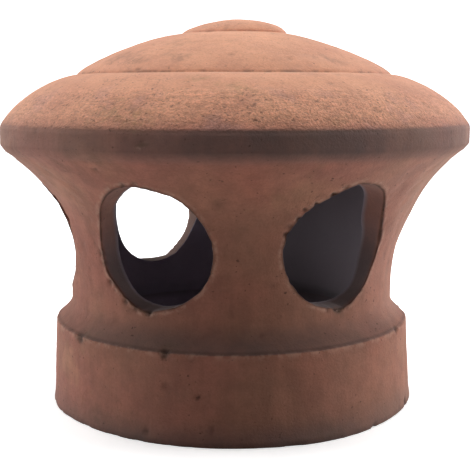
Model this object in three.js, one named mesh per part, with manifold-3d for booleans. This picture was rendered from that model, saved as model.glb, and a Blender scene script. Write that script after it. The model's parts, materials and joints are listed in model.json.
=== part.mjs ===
// Terracotta roof vent lantern: a round fired-clay hood that stands over the mouth of a roof vent.
// It is one hollow piece of clay: an upright collar, a waisted drum pierced by round holes,
// a wide rim, and a stepped cap with a low button on top. It is open below.
//
// Units are millimetres, +Z is up. The origin is on the axis, in the plane the foot stands on.
// Azimuths turn from -Y, the front, towards +X.

import * as THREE from 'three';
import { mergeVertices } from 'three/addons/utils/BufferGeometryUtils.js';
import Module from 'manifold-3d';

// Foot and collar
const FOOT_RADIUS = 94.6;
const COLLAR_TOP_RADIUS = 92.6;
const COLLAR_HEIGHT = 43;
const FOOT_EDGE = 1.5;
const ARRIS_EDGE = 1.6;

// Drum: a cove rises from the collar to the waist, then the wall flares out to the rim
const WAIST_RADIUS = 84.3;
const COVE_HEIGHT = 10;
const COVE_POWER = 1.7;
const FLARE_START = 56;
const FLARE_POWER = 2.6;

// Rim: an upright band with a small rounded lower edge, where the flared wall meets it
const RIM_RADIUS = 120;
const RIM_BOTTOM = 132.5;
const FLARE_TOP_RADIUS = 119;
const FLARE_TRIM = 1;
const RIM_SHOULDER = 141.5;
const RIM_EDGE = 2.5;

// Stepped cap
const LOWER_TIER_RADIUS = 81.2;
const LOWER_TIER_TOP = 168;
const LOWER_TIER_POWER = 1.44;
const UPPER_TIER_RADIUS = 28.5;
const UPPER_TIER_TOP = 188.6;
const UPPER_TIER_POWER = 1.26;
const BUTTON_TOP = 196;
const BUTTON_POWER = 1.9;

// Hollow
const WALL = 12.4;
const MOUTH_RADIUS = 79.5;
const MOUTH_DEPTH = 38;
const MOUTH_EDGE = 1.5;
const HOLLOW_SPRING = 134;
const HOLLOW_TOP = 182;
const HOLLOW_POWER = 1.42;

// Round holes through the drum, about one sixth of a turn apart; the right and the back right are left blank
const HOLE_RADIUS = 29.2;
const HOLE_CENTRE_HEIGHT = 89.2;
const HOLE_AZIMUTHS = [-142, -85, -25, 35];

// Fineness of the facets
const TURN_STEPS = 60;
const HOLE_STEPS = 32;
const FILLET_STEPS = 2;
const COVE_STEPS = 4;
const FLARE_STEPS = 8;
const TIER_STEPS = 6;
const HOLLOW_STEPS = 8;

const toRadians = THREE.MathUtils.degToRad;

// Radius of the drum's outside at height z, between the top of the cove and the rim.
function flareRadius(z) {
  const rise = Math.max(0, z - FLARE_START) / (RIM_BOTTOM - FLARE_START);
  return WAIST_RADIUS + (FLARE_TOP_RADIUS - WAIST_RADIUS) * rise ** FLARE_POWER;
}

// Radius of the drum's inside at height z: the outside set in by the wall, measured square to the surface.
function hollowRadius(z) {
  const step = 0.5;
  const slope = (flareRadius(z + step) - flareRadius(z - step)) / (2 * step);
  return flareRadius(z) - WALL * Math.hypot(1, slope);
}

// Points of the drum's wall between two heights, where radiusAt gives the radius for a height.
function wallPoints(radiusAt, fromHeight, toHeight, steps) {
  const points = [];
  for (let i = 0; i <= steps; i += 1) {
    const z = THREE.MathUtils.lerp(fromHeight, toHeight, i / steps);
    points.push(new THREE.Vector2(radiusAt(z), z));
  }
  return points;
}

// Curve between a low outer point and a high inner point of the cap:
// (across / width) ^ power + (up / height) ^ power = 1, with its level end at the inner point.
function tierCurve(outer, inner, power, steps) {
  const points = [];
  const width = outer.x - inner.x;
  const height = inner.y - outer.y;
  for (let i = 0; i <= steps; i += 1) {
    const angle = (Math.PI / 2) * (i / steps);
    const across = Math.cos(angle) ** (2 / power);
    const up = Math.sin(angle) ** (2 / power);
    points.push(new THREE.Vector2(inner.x + width * across, outer.y + height * up));
  }
  return points;
}

// Rounded edge: an arc about a centre, swept from one angle to another.
function roundedEdge(centreX, centreY, radius, fromDegrees, toDegrees) {
  const points = [];
  for (let i = 0; i <= FILLET_STEPS; i += 1) {
    const angle = toRadians(THREE.MathUtils.lerp(fromDegrees, toDegrees, i / FILLET_STEPS));
    points.push(new THREE.Vector2(centreX + radius * Math.cos(angle), centreY + radius * Math.sin(angle)));
  }
  return points;
}

// Sweep from a collar in to a waist: the step in radius falls away as (1 - t) ^ COVE_POWER
// while t rises from 0 to 1 over the cove's height.
function coveCurve(bottomRadius, bottomHeight, topRadius) {
  const points = [];
  for (let i = 0; i <= COVE_STEPS; i += 1) {
    const t = i / COVE_STEPS;
    const radius = topRadius + (bottomRadius - topRadius) * (1 - t) ** COVE_POWER;
    points.push(new THREE.Vector2(radius, bottomHeight + COVE_HEIGHT * t));
  }
  return points;
}

// Outside of the lantern, from the foot's outer edge up to the axis.
function outsideProfile() {
  const footEdge = roundedEdge(FOOT_RADIUS - FOOT_EDGE, FOOT_EDGE, FOOT_EDGE, -90, 0);
  const arris = roundedEdge(COLLAR_TOP_RADIUS - ARRIS_EDGE, COLLAR_HEIGHT - ARRIS_EDGE, ARRIS_EDGE, 0, 60);
  const arrisTop = arris[arris.length - 1];
  const cove = coveCurve(arrisTop.x, arrisTop.y, WAIST_RADIUS).slice(1);
  const wall = wallPoints(flareRadius, FLARE_START, RIM_BOTTOM - FLARE_TRIM, FLARE_STEPS);
  const rimEdge = roundedEdge(RIM_RADIUS - RIM_EDGE, RIM_BOTTOM + RIM_EDGE, RIM_EDGE, -30, 0);

  const rimShoulder = new THREE.Vector2(RIM_RADIUS, RIM_SHOULDER);
  const lowerTierTop = new THREE.Vector2(LOWER_TIER_RADIUS, LOWER_TIER_TOP);
  const upperTierTop = new THREE.Vector2(UPPER_TIER_RADIUS, UPPER_TIER_TOP);
  const buttonTop = new THREE.Vector2(0, BUTTON_TOP);
  const lowerTier = tierCurve(rimShoulder, lowerTierTop, LOWER_TIER_POWER, TIER_STEPS);
  const upperTier = tierCurve(lowerTierTop, upperTierTop, UPPER_TIER_POWER, TIER_STEPS).slice(1);
  const button = tierCurve(upperTierTop, buttonTop, BUTTON_POWER, TIER_STEPS).slice(1);
  return [...footEdge, ...arris, ...cove, ...wall, ...rimEdge, ...lowerTier, ...upperTier, ...button];
}

// Inside of the lantern, from the axis under the cap down to the mouth's edge at the foot.
function insideProfile() {
  const spring = new THREE.Vector2(hollowRadius(HOLLOW_SPRING), HOLLOW_SPRING);
  const vaultTop = new THREE.Vector2(0, HOLLOW_TOP);
  const vault = tierCurve(spring, vaultTop, HOLLOW_POWER, HOLLOW_STEPS).reverse();
  const wall = wallPoints(hollowRadius, HOLLOW_SPRING, FLARE_START, FLARE_STEPS).slice(1);
  const cove = coveCurve(MOUTH_RADIUS, MOUTH_DEPTH, WAIST_RADIUS - WALL).reverse();
  const mouthEdge = roundedEdge(MOUTH_RADIUS + MOUTH_EDGE, MOUTH_EDGE, MOUTH_EDGE, 180, 270);
  return [...vault, ...wall, ...cove, ...mouthEdge];
}

// Closed section turned about the upright axis.
function turnedBody() {
  const section = [...outsideProfile(), ...insideProfile()];
  section.push(section[0].clone());
  const body = new THREE.LatheGeometry(section, TURN_STEPS);
  body.rotateX(Math.PI / 2);
  return body;
}

// Round cutter that reaches from the axis out through the drum at one azimuth.
function holeCutter(azimuth) {
  const reach = RIM_RADIUS;
  const cutter = new THREE.CylinderGeometry(HOLE_RADIUS, HOLE_RADIUS, reach, HOLE_STEPS);
  cutter.translate(0, -reach / 2, 0);
  cutter.rotateZ(toRadians(azimuth));
  cutter.translate(0, 0, HOLE_CENTRE_HEIGHT);
  return cutter;
}

const wasm = await Module();
wasm.setup();

// Solid for joining and cutting, from a closed geometry.
function solidFrom(geometry) {
  const bare = geometry.clone();
  bare.deleteAttribute('normal');
  bare.deleteAttribute('uv');
  const merged = mergeVertices(bare, 1e-4);
  const vertProperties = new Float32Array(merged.attributes.position.array);
  const triVerts = new Uint32Array(merged.index.array);
  return new wasm.Manifold(new wasm.Mesh({ numProp: 3, vertProperties, triVerts }));
}

// Geometry from a finished solid.
function geometryFrom(solid) {
  const mesh = solid.getMesh();
  const geometry = new THREE.BufferGeometry();
  geometry.setAttribute('position', new THREE.BufferAttribute(new Float32Array(mesh.vertProperties), 3));
  geometry.setIndex(new THREE.BufferAttribute(new Uint32Array(mesh.triVerts), 1));
  geometry.computeVertexNormals();
  return geometry;
}

function piercedBody() {
  let body = solidFrom(turnedBody());
  for (const azimuth of HOLE_AZIMUTHS) {
    body = body.subtract(solidFrom(holeCutter(azimuth)));
  }
  return geometryFrom(body);
}

const terracotta = new THREE.MeshStandardMaterial({ color: 0xb5765a, roughness: 0.9, metalness: 0 });

const lantern = new THREE.Mesh(piercedBody(), terracotta);
lantern.name = 'lantern_body';

const roofVentLantern = new THREE.Group();
roofVentLantern.name = 'roof_vent_lantern';
roofVentLantern.add(lantern);

export default roofVentLantern;
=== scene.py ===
# %% [markdown]
# # A terracotta roof vent lantern
# The object is one hollow piece of fired clay that stands over a roof vent: an upright collar, a waisted
# drum with round holes cut through it, a wide rim and a low cap in two steps with a button on top. A clay
# pot like this is a turned shape, so a lathe profile would give most of it. The holes, the worn edges and
# the hand-made unevenness are what a lathe alone can't give. So this lesson works out the surface as
# grids of points, joins them to one closed skin, and only then presses the wear of a real pot into it.
#
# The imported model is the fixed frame: it gives the size and the place of everything.

# %% Load the frame
import json
import math

import bmesh
import bpy
import numpy as np
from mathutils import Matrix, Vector

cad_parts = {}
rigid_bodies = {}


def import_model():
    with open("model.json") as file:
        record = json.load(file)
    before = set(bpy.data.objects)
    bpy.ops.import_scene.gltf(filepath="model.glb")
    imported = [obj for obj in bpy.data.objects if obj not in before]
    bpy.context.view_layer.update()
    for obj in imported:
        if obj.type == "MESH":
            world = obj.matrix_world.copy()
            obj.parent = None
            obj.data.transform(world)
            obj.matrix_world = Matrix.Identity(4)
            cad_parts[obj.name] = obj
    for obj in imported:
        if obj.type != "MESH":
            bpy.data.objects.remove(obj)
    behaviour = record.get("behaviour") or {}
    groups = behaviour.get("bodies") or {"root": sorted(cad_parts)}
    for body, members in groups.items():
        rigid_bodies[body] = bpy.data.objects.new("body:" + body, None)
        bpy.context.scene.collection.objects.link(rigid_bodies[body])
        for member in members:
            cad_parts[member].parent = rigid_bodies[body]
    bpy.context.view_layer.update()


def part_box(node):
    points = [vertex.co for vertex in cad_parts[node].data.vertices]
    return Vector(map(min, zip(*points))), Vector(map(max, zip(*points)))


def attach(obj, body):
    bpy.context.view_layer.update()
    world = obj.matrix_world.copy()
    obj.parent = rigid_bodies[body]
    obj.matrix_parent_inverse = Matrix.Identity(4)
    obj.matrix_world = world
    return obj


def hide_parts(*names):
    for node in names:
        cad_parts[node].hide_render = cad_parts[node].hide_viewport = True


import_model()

node_low, node_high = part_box("lantern_body")

# %% [markdown]
# ## The camera
# The lantern is seen from a little above its rim, from about two rim widths away. The near collar is a
# deep curve and the steps of the cap are almost flat lines, which only fits a close camera that looks
# down a little. A long lens from far off could frame the lantern too, but it would flatten those curves.

# %% Camera at the photograph's viewing angle
CAMERA_PLACE = (0.0021, -0.5135, 0.1586)
CAMERA_PITCH_DOWN = math.radians(8.3)
FRAME_SIZE = 470
FOCAL_LENGTH_IN_PIXELS = 970

camera_data = bpy.data.cameras.new("camera")
camera_data.sensor_width = 36
camera_data.lens = camera_data.sensor_width * FOCAL_LENGTH_IN_PIXELS / FRAME_SIZE
camera_data.clip_start = 0.01
camera_data.clip_end = 50
camera = bpy.data.objects.new("camera", camera_data)
camera.location = CAMERA_PLACE
camera.rotation_euler = (math.pi / 2 - CAMERA_PITCH_DOWN, 0, 0)
bpy.context.scene.collection.objects.link(camera)
bpy.context.scene.camera = camera
bpy.context.scene.view_settings.view_transform = "Standard"
bpy.context.scene.view_settings.look = "None"
print("lens in mm:", round(camera_data.lens, 2))

# %% [markdown]
# ## Sizes
# All sizes below are in millimetres, because a potter thinks in them. Points are scaled to metres only
# when they are written into the mesh. The rim's radius and the height come from the frame. The rest are
# the sizes of the turned profile.

# %% Driving sizes
MM = 0.001
RIM_RADIUS = (node_high.x - node_low.x) / 2 / MM
BUTTON_TOP = node_high.z / MM

FOOT_RADIUS = 94.9
COLLAR_TOP_RADIUS = 92.95
COLLAR_HEIGHT = 43.0
FOOT_EDGE = 0.9
ARRIS_EDGE = 0.9

WAIST_RADIUS = 84.6
COVE_HEIGHT = 10.0
COVE_POWER = 1.7
FLARE_START = 56.0
FLARE_POWER = 2.7

RIM_BOTTOM = 132.5
FLARE_TOP_RADIUS = 119.0
RIM_SHOULDER = 141.5
RIM_EDGE = 2.5

LOWER_TIER = (81.2, 168.0)
LOWER_TIER_POWER = 1.475
UPPER_TIER = (27.0, 188.9)
UPPER_TIER_POWER = 1.27
BUTTON_POWER = 1.66
BUTTON_CROWN = 0.7

WALL = 12.4
MOUTH_RADIUS = 79.5
MOUTH_DEPTH = 38.0
MOUTH_EDGE = 1.5
HOLLOW_SPRING = 134.0
HOLLOW_TOP = 182.0
HOLLOW_POWER = 1.42

HOLE_RADIUS = 29.2
HOLE_CENTRE_HEIGHT = 89.2
print("rim radius and height in mm:", round(RIM_RADIUS, 2), round(BUTTON_TOP, 2))

# %% [markdown]
# ## The turned profile
# On the wheel the whole pot is one curve, held against the spinning clay. Each stretch of it has a
# formula: a straight collar, arcs at the edges, a cove that falls away as a power, a flare that grows as
# a power, and the two steps of the cap as quarter curves between a round and a straight line. A Bezier
# curve would do as well, but formulas keep every size readable, and the same profile later tells how deep
# any point lies under the outside.

# %% Stretches of the profile
CROWD = 1.35
CURVE_POINTS = 400


def flare_radius(height):
    """Outside radius of the drum: the waist, plus the share of the flare's height raised to a power."""
    rise = np.maximum(0, np.asarray(height, float) - FLARE_START) / (RIM_BOTTOM - FLARE_START)
    return WAIST_RADIUS + (FLARE_TOP_RADIUS - WAIST_RADIUS) * rise**FLARE_POWER


def hollow_radius(height):
    """Inside radius of the drum: the outside, less the wall's thickness measured square to the slope."""
    half_step = 0.5
    slope = (flare_radius(height + half_step) - flare_radius(height - half_step)) / (2 * half_step)
    return flare_radius(height) - WALL * np.hypot(1, slope)


def arc(centre, radius, start_degrees, stop_degrees, steps):
    """Points of a circle's arc: centre plus radius times (cosine, sine) of evenly spaced angles."""
    angle = np.radians(np.linspace(start_degrees, stop_degrees, steps + 1))
    return np.stack([centre[0] + radius * np.cos(angle), centre[1] + radius * np.sin(angle)], axis=1)


def line(start, stop, steps, crowd=1.0):
    """Points of a straight line; a crowd above 1 draws them together towards the stop."""
    share = 1 - (1 - np.linspace(0, 1, steps + 1)[:, None]) ** crowd
    return np.asarray(start, float) * (1 - share) + np.asarray(stop, float) * share


def cove(low, top_radius, steps):
    """Sweep inwards and up: the step in radius shrinks as (1 - t) to a power while t runs up the height."""
    share = np.linspace(0, 1, steps + 1) ** CROWD
    radius = top_radius + (low[0] - top_radius) * (1 - share) ** COVE_POWER
    return np.stack([radius, low[1] + COVE_HEIGHT * share], axis=1)


def tier(outer, inner, power, spacing):
    """One step of the cap: (across / width) ^ power + (up / height) ^ power = 1, level at its inner end."""
    angle = np.linspace(0, np.pi / 2, CURVE_POINTS)
    across = inner[0] + (outer[0] - inner[0]) * np.cos(angle) ** (2 / power)
    up = outer[1] + (inner[1] - outer[1]) * np.sin(angle) ** (2 / power)
    return crowded(np.stack([across, up], axis=1), spacing)


def crowded(path, spacing):
    """The same path with its points drawn together towards the start, about a spacing apart on the whole."""
    length = np.concatenate([[0], np.cumsum(np.linalg.norm(np.diff(path, axis=0), axis=1))])
    stops = np.linspace(0, 1, max(2, round(length[-1] / spacing)) + 1) ** CROWD * length[-1]
    return np.stack([np.interp(stops, length, path[:, k]) for k in (0, 1)], axis=1)


def joined(*stretches):
    """Stretches end to end, with each shared end point kept once."""
    return np.concatenate([stretches[0]] + [stretch[1:] for stretch in stretches[1:]])


print("radius under the rim in mm, outside and inside:", flare_radius(RIM_BOTTOM), hollow_radius(RIM_BOTTOM))

# %% [markdown]
# The profile is cut in four bands, because the drum between them is made otherwise, round its holes:
# below the drum outside, above the drum outside, above the drum inside, and below the drum inside.

# %% Four bands of the profile
DRUM_TOP = 126.0
CAP_SPACING = 1.45
VAULT_SPACING = 3.8
FOOT_FLAT_STEPS = 5
arris_centre = (COLLAR_TOP_RADIUS - ARRIS_EDGE, COLLAR_HEIGHT - ARRIS_EDGE)
arris = arc(arris_centre, ARRIS_EDGE, 0, 70, 3)
DRUM_BOTTOM = arris[-1][1] + COVE_HEIGHT
MOUTH_SILL = (MOUTH_RADIUS + MOUTH_EDGE, 0.0)

below_outside = joined(
    line(MOUTH_SILL, (FOOT_RADIUS - FOOT_EDGE, 0), FOOT_FLAT_STEPS),
    arc((FOOT_RADIUS - FOOT_EDGE, FOOT_EDGE), FOOT_EDGE, -90, 0, 3),
    line((FOOT_RADIUS, FOOT_EDGE), arris[0], 25, CROWD),
    arris,
    cove(arris[-1], WAIST_RADIUS, 9),
)

flare_heights = np.linspace(DRUM_TOP, RIM_BOTTOM - 1, 6)
shoulder = (RIM_RADIUS, RIM_SHOULDER)
above_outside = joined(
    np.stack([flare_radius(flare_heights), flare_heights], axis=1),
    arc((RIM_RADIUS - RIM_EDGE, RIM_BOTTOM + RIM_EDGE), RIM_EDGE, -30, 0, 2),
    line((RIM_RADIUS, RIM_BOTTOM + RIM_EDGE), shoulder, 5),
    tier(shoulder, LOWER_TIER, LOWER_TIER_POWER, CAP_SPACING),
    tier(LOWER_TIER, UPPER_TIER, UPPER_TIER_POWER, CAP_SPACING),
    tier(UPPER_TIER, (0.0, BUTTON_TOP + BUTTON_CROWN), BUTTON_POWER, CAP_SPACING),
)

spring = (float(hollow_radius(HOLLOW_SPRING)), HOLLOW_SPRING)
spring_heights = np.linspace(HOLLOW_SPRING, DRUM_TOP, 4)
above_inside = joined(
    tier(spring, (0.0, HOLLOW_TOP), HOLLOW_POWER, VAULT_SPACING)[::-1],
    np.stack([hollow_radius(spring_heights), spring_heights], axis=1),
)

inner_cove = cove((MOUTH_RADIUS, MOUTH_DEPTH), WAIST_RADIUS - WALL, 5)[::-1]
below_inside = joined(
    line((WAIST_RADIUS - WALL, DRUM_BOTTOM), inner_cove[0], 2),
    inner_cove,
    line(inner_cove[-1], (MOUTH_RADIUS, MOUTH_EDGE), 9),
    arc((MOUTH_RADIUS + MOUTH_EDGE, MOUTH_EDGE), MOUTH_EDGE, 180, 270, 2),
)
bands = (below_outside, above_outside, above_inside, below_inside)
print("rings in the four bands:", [len(band) for band in bands])

# %% [markdown]
# ## Carrying the profile round
# Points go round the axis in columns. The holes stand about one sixth of a turn apart, so the columns are
# shared out in six sectors, one round each of the four holes and one for each of the two blank places.
# Near the axis the columns crowd together, so a ring there keeps only every second, fourth or eighth
# column, and three triangles for each coarse point close the step from a fine ring to a coarse one.

# %% Columns and rings
HOLE_AZIMUTHS = np.radians([-142, -85, -25, 35])
BLANK_AZIMUTHS = np.radians([95, 155])
COLUMNS_PER_SECTOR = 64
COARSER_BELOW = [(56, 2), (27, 4), (13, 8)]
FULL_TURN = 2 * np.pi

places = np.append(HOLE_AZIMUTHS, BLANK_AZIMUTHS)
sector_starts = (places + np.append(places[-1] - FULL_TURN, places[:-1])) / 2
sector_ends = np.append(sector_starts[1:], sector_starts[0] + FULL_TURN)
column_azimuths = np.concatenate(
    [np.linspace(a, b, COLUMNS_PER_SECTOR, endpoint=False) for a, b in zip(sector_starts, sector_ends)]
)


def around(radius, azimuth, height):
    """Point on a circle: x = radius times sine, y = minus radius times cosine, so 0 faces the front."""
    radius, azimuth, height = np.broadcast_arrays(radius, azimuth, height)
    return np.stack([radius * np.sin(azimuth), -radius * np.cos(azimuth), height], axis=-1)


def grid_quads(rows, columns, closed):
    """Four-sided faces between neighbours of a grid whose points are numbered row by row."""
    row = np.arange(rows - 1)[:, None] * columns
    here = np.arange(columns if closed else columns - 1)[None, :]
    after = (here + 1) % columns
    corners = [row + here, row + after, row + columns + after, row + columns + here]
    return np.stack(corners, axis=-1).reshape(-1, 4)


def ring_step(fine, coarse, fine_first):
    """Three triangles for each point of the coarse ring, which holds every second point of the fine one."""
    here = coarse
    after = np.roll(coarse, -1)
    low, middle, high = fine[0::2], fine[1::2], np.roll(fine[0::2], -1)
    fans = [(low, middle, here), (middle, after, here), (middle, high, after)]
    triangles = np.concatenate([np.stack(fan, axis=1) for fan in fans])
    return triangles if fine_first else triangles[:, ::-1]


def turned(profile, strides):
    """A ring of points for each profile point, with every stride-th column, and the faces between."""
    rings, numbers, faces, total = [], [], [], 0
    for (radius, height), stride in zip(profile, strides):
        ring = around(radius, column_azimuths[::stride], height)
        rings.append(ring)
        numbers.append(np.arange(total, total + len(ring)))
        total += len(ring)
    for low, high in zip(numbers, numbers[1:]):
        if len(low) == len(high):
            faces.append(np.stack([low, np.roll(low, -1), np.roll(high, -1), high], axis=1))
        elif len(low) > len(high):
            faces.append(ring_step(low, high, True))
        else:
            faces.append(ring_step(high, low, False))
    return np.concatenate(rings), faces


def strides_by_radius(profile, finest):
    """How many columns a ring skips: the widest stride whose limit of radius the ring lies below."""
    strides = []
    for radius, height in profile:
        wider = [stride for limit, stride in COARSER_BELOW if radius < limit]
        strides.append(max([finest] + wider))
    return strides


print("columns round the axis:", len(column_azimuths))

# %% Turn the four bands
below_strides = [2] + [1] * (len(below_outside) - 1)
inside_strides = strides_by_radius(above_inside, 2)
inside_strides[-1] = 1
skin_parts = [
    turned(below_outside, below_strides),
    turned(above_outside, strides_by_radius(above_outside, 1)),
    turned(above_inside, inside_strides),
    turned(below_inside, [1] + [2] * (len(below_inside) - 1)),
]
print("points in the turned bands:", sum(len(points) for points, faces in skin_parts))

# %% [markdown]
# ## The holes
# The holes were cut by hand through the leather-hard drum, straight towards the axis. A boolean cut would
# leave long thin triangles along each edge, and wear can't be pressed into those. So each such sector is
# one closed grid instead: it starts at the sector's square border on the outside, closes in on the hole,
# rounds over the edge, runs through the wall, rounds over the inner edge and opens out again to the
# border on the inside.
#
# No hole is a true circle. Each outline is a circle with a few soft bulges, given as clock angle in
# degrees (0 to the right, 90 up, seen from outside), how far it reaches in millimetres, and how wide it
# is in degrees. Where the knife tore the clay, a stretch of the edge is rougher than the rest.

# %% Outlines of the holes
OUTER_BULGES = [
    [(-150, 0.7, 30), (-115, 1.9, 14), (40, -0.5, 30)],
    [(5, 1.2, 50), (120, -0.8, 30), (-80, 0.9, 16)],
    [(-101, 1.7, 13), (50, 1.3, 20), (162, -1.0, 16), (-153, 0.8, 12)],
    [(28, -2.9, 30), (-76, 1.9, 14), (155, 1.6, 22), (100, 0.9, 12), (-56, 0.7, 14), (-150, -0.7, 18)],
]
INNER_BULGES = [
    [(-150, -3.2, 30), (-25, 1.3, 22), (60, 0.8, 25)],
    [(10, -0.8, 30), (140, 0.9, 20)],
    [(176, -1.2, 16), (-120, 1.0, 30), (146, 0.9, 14), (60, 0.8, 20)],
    [(24, -4.0, 20), (-46, 3.6, 24), (150, 0.8, 20)],
]
ROUGH_STRETCHES = [
    [(-115, 2.0, 20)],
    [(-80, 1.5, 30)],
    [(-100, 2.2, 16), (95, 1.0, 20)],
    [(142, 2.4, 22), (-82, 2.2, 10)],
]


def bell(value, width):
    """Bell curve exp(-(value / width)²): 1 at zero, and 1/e at one width to either side."""
    return np.exp(-((value / width) ** 2))


def turn_from(start, angle):
    """The shorter way round from a start to an angle: their difference, brought between -pi and pi."""
    return (angle - start + np.pi) % FULL_TURN - np.pi


def bells(clock, shapes, start):
    """A start value plus, for each shape, its height times a bell of its width round its clock angle."""
    total = np.full(np.shape(clock), float(start))
    for angle, height, width in shapes:
        total = total + height * bell(turn_from(math.radians(angle), clock), math.radians(width))
    return total


print("bulges round each hole:", [len(bulges) for bulges in OUTER_BULGES])

# %% [markdown]
# Noise is needed from here on: for the nibbled edges, and later for dents and sand. Ready-made noise
# works point by point, which is slow in Python, so this one takes whole arrays: random numbers sit at the
# corners of a cube lattice, and each point blends the eight corners round it.

# %% Noise for whole arrays
CORNER_FACTORS = np.array([73856093, 19349663, 83492791])
SEED_FACTOR = 2654435
BIT_MIXERS = [(13, 1274126177), (15, 668265263)]
LARGEST = 0x7FFFFFFF
LATTICE_SHIFT = 1000


def lattice_values(corner, seed):
    """Repeatable random numbers from -1 to 1 for whole-number corners, by mixing their bits."""
    # Products past 64 bits wrap round, which mixes the bits further.
    spread = corner * CORNER_FACTORS
    mixed = spread[..., 0] ^ spread[..., 1] ^ spread[..., 2] ^ seed * SEED_FACTOR
    for shift, factor in BIT_MIXERS:
        mixed = (mixed ^ (mixed >> shift)) * factor & LARGEST
    return mixed / (LARGEST // 2) - 1


def noise(points, size, seed):
    """Smooth noise from -1 to 1: the eight lattice corners round a point, blended with 3t² - 2t³."""
    scaled = np.asarray(points, float) / size + LATTICE_SHIFT
    corner = np.floor(scaled).astype(np.int64)
    t = scaled - corner
    t = t * t * (3 - 2 * t)
    total = 0
    for dx in (0, 1):
        for dy in (0, 1):
            for dz in (0, 1):
                weight = (
                    (t[..., 0] if dx else 1 - t[..., 0])
                    * (t[..., 1] if dy else 1 - t[..., 1])
                    * (t[..., 2] if dz else 1 - t[..., 2])
                )
                total = total + weight * lattice_values(corner + np.array([dx, dy, dz]), seed)
    return total


def layered_noise(points, size, seed, layers=3):
    """Noise with finer and fainter copies of itself on top, each half the size and half the height."""
    return sum(noise(points, size / 2**k, seed + k) / 2**k for k in range(layers))


def smooth_step(low, high, value):
    """0 below low, 1 above high, and 3t² - 2t³ between."""
    t = np.clip((value - low) / (high - low), 0, 1)
    return t * t * (3 - 2 * t)


def between(rise_low, rise_high, fall_low, fall_high, value):
    """A smooth step up over the first two levels, times a smooth step down over the last two."""
    return smooth_step(rise_low, rise_high, value) * (1 - smooth_step(fall_low, fall_high, value))


print("noise at the origin:", noise(np.zeros((1, 3)), 1, 0).round(3))

# %% A sector's border and the points of its walls
BORDER_ROWS = 48
OUTSIDE_ROWS = 14
OUTSIDE_CROWD = 1.5
EDGE_ROWS = 3
BORE_ROWS = 6
INNER_EDGE_ROWS = 2
INSIDE_ROWS = 4


def sector_border(start, end):
    """Azimuth and height round a sector's square border: along the bottom, up, back along the top, down."""
    azimuth = np.linspace(start, end, COLUMNS_PER_SECTOR + 1)
    height = np.linspace(DRUM_BOTTOM, DRUM_TOP, BORDER_ROWS + 1)
    across_ones = np.ones(COLUMNS_PER_SECTOR)
    up_ones = np.ones(BORDER_ROWS)
    azimuths = np.concatenate([azimuth[:-1], end * up_ones, azimuth[:0:-1], start * up_ones])
    heights = np.concatenate([DRUM_BOTTOM * across_ones, height[:-1], DRUM_TOP * across_ones, height[:0:-1]])
    return azimuths, heights


def drum_point(across, up, radius_at, azimuth):
    """Point of a wall straight behind a spot of the hole's face: out = root of radius² - across²."""
    height = HOLE_CENTRE_HEIGHT + up
    out = np.sqrt(radius_at(height) ** 2 - across**2)
    x = across * np.cos(azimuth) + out * np.sin(azimuth)
    y = across * np.sin(azimuth) - out * np.cos(azimuth)
    return np.stack([x, y, height], axis=-1)


def bent(start, corner, end, steps):
    """Curve that leaves start, heads for the corner and bends to the end: a quadratic Bezier."""
    share = np.linspace(0, 1, steps + 1)[1:, None, None]
    return start * (1 - share) ** 2 + corner * 2 * share * (1 - share) + end * share**2


print("points on one border:", len(sector_border(0, 1)[0]))

# %% One sector with its hole
ROUNDED_EDGE = 0.4
FINE_NIBBLE = 0.13
FINE_NIBBLE_SIZE = 2.0
BROAD_NIBBLE = 0.22
BROAD_NIBBLE_SIZE = 9
INNER_NIBBLE_SHARE = 0.6


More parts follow.
